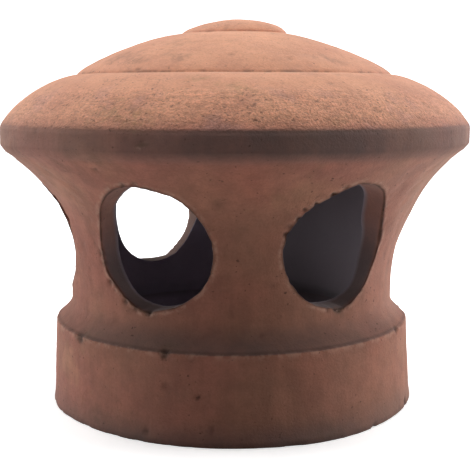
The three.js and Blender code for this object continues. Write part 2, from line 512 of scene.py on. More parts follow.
def pierced_sector(index):
    """Grid from a sector's outside border, in through its hole, and out to its inside border."""
    azimuth = HOLE_AZIMUTHS[index]
    border_azimuth, border_height = sector_border(sector_starts[index], sector_ends[index])
    offset = border_azimuth - azimuth
    border_up = border_height - HOLE_CENTRE_HEIGHT
    outside_across = flare_radius(border_height) * np.sin(offset)
    inside_across = hollow_radius(border_height) * np.sin(offset)
    clock = np.arctan2(border_up, outside_across)
    on_circle = np.stack([np.cos(clock), np.sin(clock), np.zeros_like(clock)], axis=1) * HOLE_RADIUS

    torn = bells(clock, ROUGH_STRETCHES[index], 1)
    nibble = FINE_NIBBLE * torn * noise(on_circle, FINE_NIBBLE_SIZE, 40 + index)
    nibble = nibble + BROAD_NIBBLE * layered_noise(on_circle, BROAD_NIBBLE_SIZE, 60 + index)
    outer = bells(clock, OUTER_BULGES[index], HOLE_RADIUS) + nibble
    inner = bells(clock, INNER_BULGES[index], HOLE_RADIUS) + INNER_NIBBLE_SHARE * nibble
    rounding = ROUNDED_EDGE * (1 + 0.7 * noise(on_circle, 6, 80 + index))

    def spot(reach):
        return reach * np.cos(clock), reach * np.sin(clock)

    def surface(across, up, radius_at):
        return drum_point(across, up, radius_at, azimuth)

    rows = []
    edge_across, edge_up = spot(outer + rounding)
    for share in np.linspace(1, 0, OUTSIDE_ROWS + 1) ** OUTSIDE_CROWD:
        across = edge_across + (outside_across - edge_across) * share
        up = edge_up + (border_up - edge_up) * share
        rows.append(surface(across, up, flare_radius))

    outer_corner = surface(*spot(outer), flare_radius)
    inner_corner = surface(*spot(inner), hollow_radius)
    through = inner_corner - outer_corner
    depth = np.linalg.norm(through, axis=1, keepdims=True)
    bore_start = outer_corner + through * rounding[:, None] / depth
    bore_end = inner_corner - through * (ROUNDED_EDGE / depth)
    rows.extend(bent(rows[-1], outer_corner, bore_start, EDGE_ROWS))
    for share in np.linspace(0, 1, BORE_ROWS + 1)[1:] ** CROWD:
        rows.append(bore_start + (bore_end - bore_start) * share)

    lip_across, lip_up = spot(inner + ROUNDED_EDGE)
    inner_lip = surface(lip_across, lip_up, hollow_radius)
    rows.extend(bent(bore_end, inner_corner, inner_lip, INNER_EDGE_ROWS))
    for share in np.linspace(0, 1, INSIDE_ROWS + 1)[1:]:
        across = lip_across + (inside_across - lip_across) * share
        up = lip_up + (border_up - lip_up) * share
        rows.append(surface(across, up, hollow_radius))
    points = np.stack(rows)
    return points.reshape(-1, 3), [grid_quads(len(rows), len(clock), True)]


print("points in a sector with a hole:", len(pierced_sector(0)[0]))

# %% The six sectors
def blank_sector(start, end, radius_at, upwards):
    """Plain grid over one sector of the wall, its rows running up on the outside, down on the inside."""
    heights = np.linspace(DRUM_BOTTOM, DRUM_TOP, BORDER_ROWS + 1)
    heights = heights if upwards else heights[::-1]
    azimuths = np.linspace(start, end, COLUMNS_PER_SECTOR + 1)
    points = around(radius_at(heights)[:, None], azimuths[None, :], heights[:, None])
    return points.reshape(-1, 3), [grid_quads(len(heights), len(azimuths), False)]


for hole in range(len(HOLE_AZIMUTHS)):
    skin_parts.append(pierced_sector(hole))
for blank in range(len(HOLE_AZIMUTHS), len(places)):
    skin_parts.append(blank_sector(sector_starts[blank], sector_ends[blank], flare_radius, True))
    skin_parts.append(blank_sector(sector_starts[blank], sector_ends[blank], hollow_radius, False))
print("parts of the skin:", len(skin_parts))

# %% [markdown]
# ## One closed skin
# The bands and sectors meet point on point, so merging points that lie in the same place joins them to
# one closed skin. A closed skin matters: light must not leak through a crack, and the clay has a real
# thickness.

# %% Join the parts
MERGE_DISTANCE = 0.008
all_points, all_faces, total = [], [], 0
for points, face_sets in skin_parts:
    all_points.append(points)
    for faces in face_sets:
        all_faces.extend((faces + total).tolist())
    total += len(points)

clay_mesh = bpy.data.meshes.new("clay_lantern")
clay_mesh.from_pydata((np.concatenate(all_points) * MM).tolist(), [], all_faces)
skin = bmesh.new()
skin.from_mesh(clay_mesh)
bmesh.ops.remove_doubles(skin, verts=skin.verts, dist=MERGE_DISTANCE * MM)
open_edges = sum(1 for edge in skin.edges if len(edge.link_faces) != 2)
skin.to_mesh(clay_mesh)
skin.free()
clay_mesh.polygons.foreach_set("use_smooth", np.ones(len(clay_mesh.polygons), bool))
clay_mesh.update()
triangles = sum(len(face.vertices) - 2 for face in clay_mesh.polygons)
print("points:", len(clay_mesh.vertices), "triangles:", triangles, "open edges:", open_edges)

# %% [markdown]
# ## Where each point lies
# Wear follows place: edges chip, hollows gather dirt, tops bleach, and the painted light and shade follow
# place as well. So for each point of the skin a few plain numbers are worked out once: its radius, azimuth
# and height, how deep it lies behind the outside profile, and how near it is to an edge. They steer both
# the shape and, stored as attributes, the material.

# %% Measures of place
count = len(clay_mesh.vertices)
flat = np.empty(count * 3)
clay_mesh.vertices.foreach_get("co", flat)
place = flat.reshape(-1, 3) / MM
clay_mesh.vertex_normals.foreach_get("vector", flat)
normal = flat.reshape(-1, 3).copy()
radius = np.hypot(place[:, 0], place[:, 1])
azimuth = np.arctan2(place[:, 0], -place[:, 1])
height = place[:, 2]


def distance_to_path(across, up, path):
    """Shortest distance from points to a path of straight lines, each point dropped on every line."""
    best = np.full(len(across), np.inf)
    for (x0, y0), (x1, y1) in zip(path[:-1], path[1:]):
        dx, dy = x1 - x0, y1 - y0
        t = np.clip(((across - x0) * dx + (up - y0) * dy) / (dx * dx + dy * dy), 0, 1)
        best = np.minimum(best, np.hypot(across - x0 - t * dx, up - y0 - t * dy))
    return best


drum_heights = np.linspace(DRUM_BOTTOM, DRUM_TOP, 40)
drum_path = np.stack([flare_radius(drum_heights), drum_heights], axis=1)
outside_path = joined(below_outside, drum_path, above_outside)
depth = distance_to_path(radius, height, outside_path[FOOT_FLAT_STEPS:])
inside = smooth_step(2.0, 9.0, depth)
skin_deep = 1 - smooth_step(1.0, 4.0, depth)
print("deepest point in mm:", round(float(depth.max()), 1))

# %% Nearness to the edges
FAR = 99.0
HOLE_ZONE = np.radians(36)
ARRIS = (COLLAR_TOP_RADIUS, COLLAR_HEIGHT)
FOOT = (FOOT_RADIUS, 0.0)
MOUTH = (MOUTH_RADIUS, 0.0)


def near_ring(ring, out, up, width):
    """Bell exp(-(distance / width)²) round a ring of given radius and height, shifted out and up."""
    return bell(np.hypot(radius - ring[0] - out, height - ring[1] - up), width)


hole_gap = np.full(count, FAR)
for hole_azimuth, bulges in zip(HOLE_AZIMUTHS, OUTER_BULGES):
    turn_off = turn_from(hole_azimuth, azimuth)
    across = radius * np.sin(turn_off)
    up = height - HOLE_CENTRE_HEIGHT
    gap = np.abs(np.hypot(across, up) - bells(np.arctan2(up, across), bulges, HOLE_RADIUS))
    hole_gap = np.where(np.abs(turn_off) < HOLE_ZONE, np.minimum(hole_gap, gap), hole_gap)
hole_edge = bell(np.hypot(hole_gap, depth), 2.2)
arris_edge = near_ring(ARRIS, 0, -0.6, 1.7)
foot_edge = near_ring(FOOT, 0, 0, 2.5)
mouth_edge = near_ring(MOUTH, 0, 0, 2.5)
print("points near a hole's edge:", int((hole_edge > 0.5).sum()))

# %% [markdown]
# ## Wear and the potter's hand
# The clay was soft when it was shaped, so the form wanders a little; turning left shallow rings; handling
# nibbled the edges; and small stones that fell out left pits. Each is a push along the surface's own
# direction, mostly by a few tenths of a millimetre, and by more in the chips and on the flanks.
# Sculpting by hand would do it too, but sums can be read and changed.

# %% Dents
def dents(centres, widths, depths, seed):
    """Push inwards at each dent: depth times (1 - (distance / width)²)², its outline bent by noise."""
    push = np.zeros(count)
    ragged = 1 + 0.35 * noise(place, 1.9, seed)
    for centre, width, deep in zip(centres, widths, depths):
        away = np.linalg.norm(place - centre, axis=1) * ragged / width
        push = push - deep * np.clip(1 - away**2, 0, None) ** 2
    return push


def centres_of(spots):
    """Centres of listed spots, each a name, an azimuth in degrees, a radius and a height."""
    azimuths, radii, heights = np.array([spot[1:4] for spot in spots]).T
    return around(radii, np.radians(azimuths), heights)


def crumbs(hole, first_clock, last_clock, number):
    """Small breaks along a hole's outer edge, between two clock angles; sines take the place of chance."""
    found = []
    for step, clock_degrees in enumerate(np.linspace(first_clock, last_clock, number)):
        clock = math.radians(clock_degrees + 4.5 * math.sin(4.1 * step + hole))
        reach = float(bells(clock, OUTER_BULGES[hole], HOLE_RADIUS)) + 1.5 + 0.6 * math.sin(5.3 * step)
        edge_height = HOLE_CENTRE_HEIGHT + reach * math.sin(clock)
        edge_radius = float(flare_radius(edge_height))
        edge_azimuth = math.degrees(HOLE_AZIMUTHS[hole] + math.asin(reach * math.cos(clock) / edge_radius))
        size = 2.0 + 0.7 * math.sin(3.1 * step + hole)
        found.append(("crumb", edge_azimuth, edge_radius, edge_height, size, 0.27 * size))
    return found


print("one crumb:", crumbs(0, 200, 260, 6)[0])

# %% Chips, pits and nicks: name, azimuth in degrees, radius, height, width and depth in millimetres
MARKS = [
    ("chip in the collar's arris, left", -52, 92.3, 42.0, 3.4, 1.5),
    ("chip in the collar's arris, front left", -18.7, 92.2, 42.2, 3.0, 1.6),
    ("nick in the arris, right", 62, 92.3, 42.2, 2.4, 0.9),
    ("scar on the rim band", -18.45, 120.0, 137.9, 2.6, 0.35),
    ("pit on the collar", -9.0, 93.5, 23.5, 2.2, 0.8),
    ("shallow hollow on the collar", -18.5, 93.2, 27.9, 3.4, 0.5),
    ("pit low on the collar, left", -24.3, 94.3, 5.8, 2.0, 0.8),
    ("pit low on the collar, front", -5.6, 94.2, 8.6, 1.9, 0.7),
    ("chip in the foot, right", 69, 94.6, 2.5, 2.8, 1.4),
    ("chip in the foot, front right", 46, 94.6, 0.5, 2.6, 0.8),
    ("chip above the right hole", 21.9, 97.9, 110.3, 1.9, 0.7),
    ("chip above the right hole, lower", 17.8, 94.6, 103.8, 2.1, 0.7),
    ("small pit above the crown ring", -33, 79.0, 169.0, 1.9, 0.5),
    ("crease in the button", -9, 25.8, 191.5, 2.0, 0.5),
    ("notch under the left hole", -26.5, 84.3, 58.2, 2.8, 1.3),
    ("notch under the right hole", 37.2, 84.3, 58.0, 2.6, 1.4),
    ("pit under the flare, left", -32.7, 111.7, 125.8, 2.2, 0.7),
    ("pit under the flare, far left", -33.9, 115.5, 129.4, 2.0, 0.5),
    *crumbs(3, 112, 172, 9),
    *crumbs(3, 262, 284, 4),
    *crumbs(2, 186, 252, 9),
    *crumbs(2, 82, 112, 4),
    *crumbs(1, 230, 300, 6),
    *crumbs(0, 200, 260, 6),
]
mark_widths, mark_depths = np.array([mark[4:] for mark in MARKS]).T
marks_push = dents(centres_of(MARKS), mark_widths, mark_depths, 5)

PIT_NUMBER = 240
rng = np.random.default_rng(17)
outside_numbers = np.flatnonzero((skin_deep > 0.9) & (height > 1))
pit_centres = place[rng.choice(outside_numbers, PIT_NUMBER, replace=False)]
pit_widths = rng.uniform(1.3, 3.0, PIT_NUMBER)
pit_depths = rng.uniform(0.08, 0.42, PIT_NUMBER) ** 1.2
pits_push = dents(pit_centres, pit_widths, pit_depths, 6)
print("deepest push in mm:", round(float(min(marks_push.min(), pits_push.min())), 2))

# %% Wander, turning rings, sand and scraping
RING_MARK_LENGTH = 14
wander = 0.28 * layered_noise(place, 46, 21, 2) + 0.10 * layered_noise(place, 13, 23, 2)
along_profile = np.where(height > RIM_SHOULDER, radius, height)
round_about = [RING_MARK_LENGTH * np.sin(azimuth), RING_MARK_LENGTH * np.cos(azimuth)]
ring_place = np.stack([along_profile, *round_about], axis=1)
rings = 0.07 * noise(ring_place, 2.4, 31) + 0.05 * noise(ring_place, 5.5, 33)

sand_zone = smooth_step(RIM_SHOULDER - 1, 146, height) * smooth_step(90, 104, radius)
sand_push = -0.22 * sand_zone * smooth_step(0.1, 0.9, noise(place, 2.3, 35))

flank = smooth_step(0.55, 0.9, np.abs(np.sin(azimuth)))
under_flare = between(70, 92, 128, 133, height)
scraped = -0.55 * flank * under_flare * smooth_step(0.0, 0.8, layered_noise(place, 6.5, 37, 2))
print("deepest scraping in mm:", round(float(scraped.min()), 2))

# %% Nibbled and chipped edges
nibbles = smooth_step(0.15, 0.8, noise(place, 3.1, 41))
chips = smooth_step(0.45, 0.75, noise(place, 7.0, 43))
EDGES = [(hole_edge, 0.35, 0.5), (arris_edge, 0.3, 0.45), (foot_edge, 0.15, 0.3), (mouth_edge, 0.3, 0.6)]
edges_push = -sum(edge * (nibble * nibbles + chip * chips) for edge, nibble, chip in EDGES)
print("deepest edge wear in mm:", round(float(edges_push.min()), 2))

# %% Rounded foot, fuller and flatter flanks, and the groove at the crown ring
def facing(degrees, width):
    """Bell round one azimuth: 1 there, falling to 1/e at a width in degrees to either side."""
    return bell(turn_from(math.radians(degrees), azimuth), math.radians(width))


lip_round = 1.3 * facing(30, 16) + 0.5 * facing(80, 12) + 0.2 * facing(-31, 12) + 0.8 * facing(-70, 14)
lip = bell(height - 1.2, 2.4) * lip_round
right_flank = smooth_step(0.6, 0.97, np.sin(azimuth))
left_flank = smooth_step(0.6, 0.97, -np.sin(azimuth))
fuller = 1.6 * bell(height - 98, 15) * right_flank
fuller = fuller - 1.7 * bell(height - 104, 13) * left_flank
fuller = fuller + 0.4 * between(130, 133, 143, 147, height)
ring_groove = -0.22 * near_ring(LOWER_TIER, 0, 0, 0.9) * (0.6 + 0.4 * noise(place, 7, 47))

outside_push = marks_push + pits_push + rings + sand_push + scraped + lip * skin_deep + ring_groove
inside_push = 0.25 * layered_noise(place, 9, 51, 2) * inside
push = wander + outside_push * skin_deep + edges_push + inside_push + fuller * skin_deep
print("push in mm, from and to:", round(float(push.min()), 2), round(float(push.max()), 2))

# %% [markdown]
# The pot also leans, because it sagged a little in drying. The lean is a slide to the right, read off the
# middle of the outline at a few heights. The rim droops a little at the left, and the button's top is
# tilted, so both are small changes of height.

# %% Lean, and write the shape back
LEAN_HEIGHTS = (0, 43, 60, 80, 100, 120, 137, 150, 160, 168, 180, 187, 190, 196)
LEAN_TO_THE_RIGHT = (0.4, 0.25, 0.1, 0.4, 1.0, 1.4, 2.0, 2.1, 1.8, 1.5, 0.9, 0.8, 2.0, 2.2)
RIM_DROOP = 1.2
BUTTON_TILT = 0.024
worn = place + normal * push[:, None]
worn[:, 0] += np.interp(worn[:, 2], LEAN_HEIGHTS, LEAN_TO_THE_RIGHT)
worn[:, 2] -= RIM_DROOP * bell(height - 130, 6) * left_flank * skin_deep
worn[:, 2] += BUTTON_TILT * worn[:, 0] * smooth_step(189.5, 193, height)
worn[:, 2] = np.maximum(worn[:, 2], 0)
clay_mesh.vertices.foreach_set("co", (worn * MM).ravel())
clay_mesh.update()
print("highest point in mm:", round(float(worn[:, 2].max()), 2))

# %% [markdown]
# ## Where the finish changes, and where light and shade are painted
# The material asks the mesh where to be dirty, dusty or worn, and where to paint light or shade. Each
# answer is one number for each point, kept under a plain name. Painting an image would also work, but the
# numbers stay with the surface at any size.

# %% Stored numbers and smudges
def keep_attribute(name, values):
    """Stores one number for each point under a name that the material can ask for."""
    layer = clay_mesh.attributes.new(name, "FLOAT", "POINT")
    layer.data.foreach_set("value", np.clip(values, 0, 1).astype(np.float32))


def smudged(spots, seed):
    """The strongest of amount times (1 - (distance / width)²) at each point, its outline bent by noise."""
    strongest = np.zeros(count)
    ragged = 1 + 0.5 * layered_noise(place, 6, seed)
    for centre, (width, amount) in zip(centres_of(spots), [spot[4:] for spot in spots]):
        away = np.linalg.norm((place - centre) * (1, 1, 1.6), axis=1) * ragged / width
        strongest = np.maximum(strongest, amount * np.clip(1 - away**2, 0, 1))
    return strongest


print("numbers to store under each name:", count)

# %% Smudges, ochre, cracks and buff: name, azimuth in degrees, radius, height, width and amount
SMUDGES = [
    ("above the crown ring, far left", -50.3, 68.4, 174.5, 9, 0.55),
    ("above the crown ring, left", -38.0, 71.0, 173.0, 7, 0.45),
    ("above the crown ring, near the middle", -20.6, 70.1, 174.5, 7, 0.45),
    ("above the crown ring, right", 39.6, 72.1, 174.0, 7, 0.55),
    ("left of the button", -28, 52.0, 182.0, 10, 0.3),
    ("on the arris, left", -50, 92.0, 43.0, 9, 0.8),
    ("on the arris, front left", -18.7, 92.0, 44.0, 6, 0.8),
    ("under the left hole", -26, 85.0, 58.0, 5, 0.7),
    ("under the right hole", 37, 85.0, 58.0, 4, 0.8),
    ("low on the foot, left", -42, 94.9, 6.0, 9, 0.6),
    ("low on the foot, right", 30, 94.9, 3.0, 12, 0.6),
    ("under the flare, left", -43, 112.0, 126.0, 7, 0.5),
    ("under the rim, front left", -30, 117.0, 130.5, 6, 0.5),
    ("left of the right hole", 8, 88.0, 84.0, 9, 0.25),
    ("on the collar, front left", -14, 93.6, 25.0, 8, 0.35),
    ("back of the cap", 165, 90.0, 165.0, 12, 0.5),
    ("left of the cap", -110, 98.0, 162.0, 12, 0.5),
    ("right of the cap", 75, 76.0, 171.0, 9, 0.5),
    ("back of the drum", 150, 88.0, 90.0, 14, 0.4),
    ("right of the drum", 98, 92.0, 104.0, 11, 0.5),
    ("under the rim, back", 172, 114.0, 128.0, 14, 0.55),
    ("under the rim, right", 112, 114.0, 128.0, 10, 0.5),
    ("foot at the back", 175, 94.5, 5.0, 16, 0.6),
    ("foot on the right", 104, 94.5, 4.0, 11, 0.6),
    ("foot on the left", -96, 94.5, 5.0, 13, 0.6),
    ("arris at the back", 150, 92.0, 43.0, 9, 0.7),
    ("arris on the left", -118, 92.0, 43.0, 8, 0.7),
]
OCHRE_PATCHES = [
    ("below the crown ring, left", -9.0, 93.0, 164.5, 7, 1.0),
    ("below the crown ring, middle", 0.3, 101.0, 160.5, 9, 0.9),
    ("near the rim, left", -28.2, 114.9, 149.6, 12, 0.9),
    ("near the rim, front left", -20.0, 116.6, 147.7, 10, 0.9),
    ("near the rim, right", 22.0, 116.0, 148.0, 8, 0.6),
    ("back of the cap", 140, 105.0, 158.0, 14, 0.8),
    ("right side of the cap", 85, 112.0, 152.0, 12, 0.7),
]
CRACKED_PLACES = [
    ("upright crack, left", -33, 92.0, 164.0, 9, 1.0),
    ("upright crack, front left", -21, 94.0, 163.5, 8, 1.0),
    ("crack in the button", -12, 20.0, 194.0, 8, 1.0),
    ("above the crown ring", -40, 72.0, 173.0, 8, 0.8),
    ("low on the collar", -35, 94.5, 12.0, 14, 0.6),
    ("above the right hole", 20, 100.0, 112.0, 12, 0.8),
    ("behind the rim", 170, 118.0, 146.0, 16, 0.9),
    ("left side of the cap", -95, 90.0, 164.0, 14, 0.8),
]
BUFF_PATCHES = [
    ("left flank of the collar", -62, 93.5, 28.0, 22, 0.6),
    ("right flank of the collar", 70, 93.5, 30.0, 16, 0.5),
    ("under the flare, right", 21, 103.0, 116.0, 20, 0.75),
    ("under the flare, left", -48, 105.0, 117.0, 18, 0.5),
    ("under the flare, right side", 100, 103.0, 116.0, 26, 0.7),
    ("blank place, right side", 88, 86.0, 75.0, 20, 0.5),
    ("back of the drum", 160, 90.0, 92.0, 26, 0.6),
    ("back of the collar", -160, 93.5, 22.0, 26, 0.6),
]
print("listed patches:", [len(spots) for spots in (SMUDGES, OCHRE_PATCHES, CRACKED_PLACES, BUFF_PATCHES)])

# %% The scar on the rim band, rubbed rims, and dark lines that are partly painted shade
SCAR_AZIMUTH = math.radians(-18.45)
SCAR_HEIGHT = 137.9
SCAR_RIMS = (136.3, 139.5)
scar_width = bell((azimuth - SCAR_AZIMUTH) * RIM_RADIUS, 3.0) * skin_deep
scar_pale = scar_width * sum(bell(height - rim, 0.6) for rim in SCAR_RIMS)
hole_rim = bell(hole_gap - 1.5, 0.8) * skin_deep
collar_rim = 0.7 * arris_edge * (height < COLLAR_HEIGHT)
ring_rim = near_ring(LOWER_TIER, 1.6, -0.3, 0.8)
button_rim = near_ring(UPPER_TIER, 0.5, 0.2, 1.1)
# Thin dark lines at the hole edges, under the arris and round the foot: partly dark crevices, partly painted
# shade, a shadow line under the arris and a contact shadow round the foot
hole_line = bell(np.hypot(hole_gap, np.maximum(depth - 0.4, 0)), 0.75)
arris_line = near_ring(ARRIS, -1.1, 0.05, 0.5) * skin_deep
foot_line = 0.8 * near_ring(FOOT, 0, 0, 1.1)
keep_attribute("scar", scar_width * bell(height - SCAR_HEIGHT, 0.8))
keep_attribute("pale_rim", np.maximum.reduce([hole_rim, collar_rim, ring_rim, button_rim, scar_pale]))
keep_attribute("dirt_and_shade_lines", np.maximum.reduce([arris_line, hole_line, foot_line]))
print("points on a dark line:", int((hole_line > 0.5).sum()))

# %% Inside and in the cuts, with painted light on the inner wall at the back left
behind_wall = smooth_step(11.3, 12.2, depth)
behind_edge = smooth_step(12.05, 12.35, depth)
towards_back = smooth_step(10, 40, place[:, 1])
in_cut = smooth_step(0.3, 2.0, depth)
# The cuts through the wall are darker, more so towards the bottom
cut_height = 0.42 + 0.58 * smooth_step(108, 74, height)
# Painted light: the inner wall at the back left, seen through the left hole, is painted pale where too
# little light reaches it
back_left = smooth_step(5, -15, place[:, 0]) * smooth_step(20, 40, place[:, 1])
keep_attribute("ash", behind_edge + (behind_wall - behind_edge) * smooth_step(20, 0, place[:, 1]))
keep_attribute("painted_inner_light", behind_edge * back_left)
keep_attribute("cut_darkening", in_cut * cut_height * (1 - 0.15 * towards_back))
keep_attribute("warm_cut", in_cut * (1 - behind_edge) * towards_back)
print("points behind the wall:", int((behind_wall > 0.5).sum()))

# %% On the outside
# front and band_front say where painted shade goes: the front, which the lamps barely reach, is painted
# darker
front = 0.5 + 0.5 * smooth_step(0.35, 0.95, np.cos(azimuth))
band_front = 0.32 + 0.68 * facing(14, 48)
# Pale dust on the up-facing cap, partly real dust and partly painted light: the cap is painted paler at the
# front, less on its flanks
up_facing = smooth_step(0.1, 0.75, normal[:, 2]) * smooth_step(140, 150, height)
painted_cap_front_light = 0.68 + 0.32 * smooth_step(0.62, 0.97, np.cos(azimuth))
sand_share = 0.2 + (0.45 + 0.35 * facing(0, 45)) * smooth_step(97, 108, radius)
# Painted light: paler clay on the flanks, more on the right, where the side lamps light the drum
bloom = 0.65 * right_flank + 0.35 * left_flank * smooth_step(95, 112, height)
bloom = bloom + 0.3 * facing(40, 22) * smooth_step(98, 116, height)
# Painted shade: umber over the front of the drum and collar, and low on the foot at the front right, where
# little light falls
film = smooth_step(0.62, 0.95, np.cos(azimuth)) * (1 - smooth_step(96, 116, height))
film = np.maximum(film, 2.2 * facing(46, 20) * (1 - smooth_step(4, 24, height)))

ON_THE_OUTSIDE = {
    # Grey dirt on the shelf above the arris, partly real dirt and partly painted shade under the rim,
    # heaviest at the front
    "cove_dirt_and_shade": front * between(42.3, 42.9, 44, 58, height),
    # Grey dirt low on the foot, partly real dirt and partly painted shade near the floor, heaviest at the
    # front
    "foot_dirt_and_shade": front * (1 - smooth_step(0, 15, height)),
    # Grey dirt on the upright band of the rim, partly real dirt and partly painted shade, heaviest on the
    # front
    "band_dirt_and_shade": band_front * between(128, 134, 143.0, 144.6, height),
    # Painted shade: a dark line in the crease at the crown ring
    "painted_ring_shade": near_ring(LOWER_TIER, -0.5, 0.2, 0.8),
    "dust": up_facing * painted_cap_front_light,
    "sandy": smooth_step(142, 144.5, height) * sand_share,
    "bloom": bloom * between(43, 48, 128, 134, height),
    "film": film,
    # Painted shade in the pits and chips: the deeper the dent, the darker
    "pitted": np.clip(-(marks_push + pits_push) / 0.9, 0, 1),
    "smudge": smudged(SMUDGES, 71),
    "ochre": smudged(OCHRE_PATCHES, 73),
    "hairline": smudged(CRACKED_PLACES, 75),
    "buff": smudged(BUFF_PATCHES, 77),
}
for name, values in ON_THE_OUTSIDE.items():
    keep_attribute(name, values * skin_deep)
print("attributes:", [attribute.name for attribute in clay_mesh.attributes])

# %% [markdown]
# ## The terracotta
# Fired clay is matt and never one colour: the iron in it fires from buff to brick red, sand shows as pale
# and dark grains, dust bleaches what faces up, and grey dirt lies where water stands. Some layers are
# painted light and shade as well: paler flanks and cap front, a darker front, and darker creases and pits.
# A single noise would look like camouflage, so the colour is built as a painter would, one thin layer over
# another, each with its own scale.

# %% Helpers for the material
class Recipe:
    """Nodes added to one material, and the colour that its layers have built up so far."""

    def __init__(self, tree):
        self.tree = tree
        self.place = self.node("ShaderNodeTexCoord", "object coordinates").outputs["Object"]
        self.colour = None

    def fill(self, socket, value):
        """Links a socket to another node's output, or sets it to a plain number, size or colour."""
        if isinstance(value, bpy.types.NodeSocket):
            self.tree.links.new(value, socket)
        elif socket.type == "RGBA":
            socket.default_value = (*value, 1.0)
        else:
            socket.default_value = value

    def node(self, kind, label, sockets=None, **settings):
        """Adds a node, names it in plain words, sets its properties and fills its sockets."""
        node = self.tree.nodes.new(kind)
        node.name = node.label = label
        for key, value in settings.items():
            setattr(node, key, value)
        for key, value in (sockets or {}).items():
            self.fill(node.inputs[key], value)
        return node

    def stored(self, name):
        """Reads a number that the mesh keeps for each point."""
        return self.node("ShaderNodeAttribute", "stored " + name, attribute_name=name).outputs["Fac"]

    def grain(self, label, scale, detail=2.0, roughness=0.55):
        """Noise round 0.5; three scales in place of one draw it out along X, Y and Z."""
        vector = self.place
        if isinstance(scale, tuple):
            sockets = {"Vector": vector, "Scale": scale}
            vector = self.node("ShaderNodeMapping", label + " direction", sockets).outputs["Vector"]
            scale = 1.0
        sockets = {"Vector": vector, "Scale": scale, "Detail": detail, "Roughness": roughness}
        return self.node("ShaderNodeTexNoise", label, sockets).outputs["Fac"]

    def ranged(self, value, label, low, high, least=0.0, most=1.0):
        """Stretches a value from its own range to another, smoothly, and holds it there."""
        sockets = {"Value": value, "From Min": low, "From Max": high, "To Min": least, "To Max": most}
        node = self.node("ShaderNodeMapRange", label, sockets, interpolation_type="SMOOTHSTEP")
        return node.outputs["Result"]

    def clouds(self, label, scale, detail, low, high, least=0.0, most=1.0, roughness=0.55):
        """Grain stretched from the range low to high, to run from a least to a most value."""
        value = self.grain(label, scale, detail, roughness)
        return self.ranged(value, label + " range", low, high, least, most)

    def reckon(self, operation, label, first, second=0.0):
        """One step of arithmetic with two values."""
        node = self.node("ShaderNodeMath", label, {0: first, 1: second}, operation=operation)
        return node.outputs["Value"]

    def times(self, label, first, second):
        """One value multiplied by another."""
        return self.reckon("MULTIPLY", label, first, second)

    def lay(self, over, amount, label, blend="MIX"):
        """Lays a colour, or a grey value, over the colour so far, by an amount."""
        sockets = {0: amount, 6: self.colour, 7: over}
        settings = {"data_type": "RGBA", "blend_type": blend}
        self.colour = self.node("ShaderNodeMix", label, sockets, **settings).outputs[2]

    def lay_broken(self, name, over, scale, low, high, least, most, detail=4.0):
        """Lays a colour where a stored number says, broken up by noise so that it has no clean outline."""
        label = name.replace("_", " ")
        gaps = self.clouds(label + " breaks", scale, detail, low, high, least, most, 0.6)
        self.lay(over, self.times(label + " amount", self.stored(name), gaps), label)

    def lay_stored(self, name, over, share):
        """Lays a colour where a stored number says, by a share of that number."""
        label = name.replace("_", " ")
        self.lay(over, self.times(label + " amount", self.stored(name), share), label)


# %% Colours of the clay, as linear light
ROSE = (0.445, 0.177, 0.124)
TAN = (0.46, 0.208, 0.135)
FIRED_RED = (0.46, 0.155, 0.10)
# Pale dust, also used as painted light on the cap
PALE_DUST_AND_LIGHT = (0.80, 0.405, 0.245)
OCHRE = (0.47, 0.275, 0.135)
RUST_GRAIN = (0.20, 0.088, 0.052)
PALE_CLAY = (0.68, 0.43, 0.32)
# Grey of real dirt, also used for painted shade on the front
GREY_DIRT_AND_SHADE = (0.128, 0.104, 0.099)
UMBER = (0.19, 0.105, 0.07)
CREVICE = (0.075, 0.038, 0.028)
ASH = (0.31, 0.265, 0.30)
# Dark grey-brown for the cuts through the wall
CUT_DARK = (0.15, 0.126, 0.132)
# Pale colour for painted light on the inner wall
PALE_INNER_LIGHT = (0.66, 0.60, 0.72)
MAUVE = (0.47, 0.25, 0.22)
BUFF = (0.52, 0.28, 0.155)
print("red light sent back by the darkest and the palest clay:", CREVICE[0], PALE_DUST_AND_LIGHT[0])

# %% Terracotta: the fired body
terracotta = bpy.data.materials.new("fired_terracotta")
terracotta.use_nodes = True
terracotta.node_tree.nodes.clear()
clay = Recipe(terracotta.node_tree)
clay.colour = ROSE
clay.lay(TAN, clay.clouds("firing", 16, 3, 0.35, 0.65), "clay from rose to tan")
clay.lay(FIRED_RED, clay.clouds("hottest places", 12, 2, 0.5, 0.7, 0, 0.4), "fired red")
clay.lay_broken("buff", BUFF, 60, 0.35, 0.65, 0.35, 0.8)

TINTS = [
    ("mottling", 95, 5, 0.35, 0.65, 0.9, 1.1, 0.65),
    ("wiped smears", (110, 110, 9), 2, 0.35, 0.65, 0.95, 1.05, 0.55),
    ("fine streaks", (520, 520, 22), 2, 0.3, 0.7, 0.98, 1.02, 0.55),
]
for label, *numbers in TINTS:
    clay.lay(clay.clouds(label, *numbers), 1.0, label + " tint", "MULTIPLY")
ring_grain = clay.grain("turning rings", (3, 3, 330), 3)
ring_tint = clay.ranged(ring_grain, "ring strength", 0.3, 0.7, 0.985, 1.015)
clay.lay(ring_tint, 1.0, "turning rings tint", "MULTIPLY")
print("nodes after the fired body:", len(clay.tree.nodes))

# %% Terracotta: sand, and dust that is partly painted light, on the cap
sandy = clay.stored("sandy")
# Pale dust that is partly painted light on the top and front of the cap
clay.lay_broken("dust", PALE_DUST_AND_LIGHT, 42, 0.3, 0.65, 0.65, 0.92)
mauve = clay.clouds("mauve clouds", 55, 3, 0.53, 0.68, 0, 0.4)
clay.lay(MAUVE, clay.times("mauve amount", mauve, sandy), "mauve patches")
clay.lay_broken("ochre", OCHRE, 240, 0.42, 0.64, 0.05, 0.6)

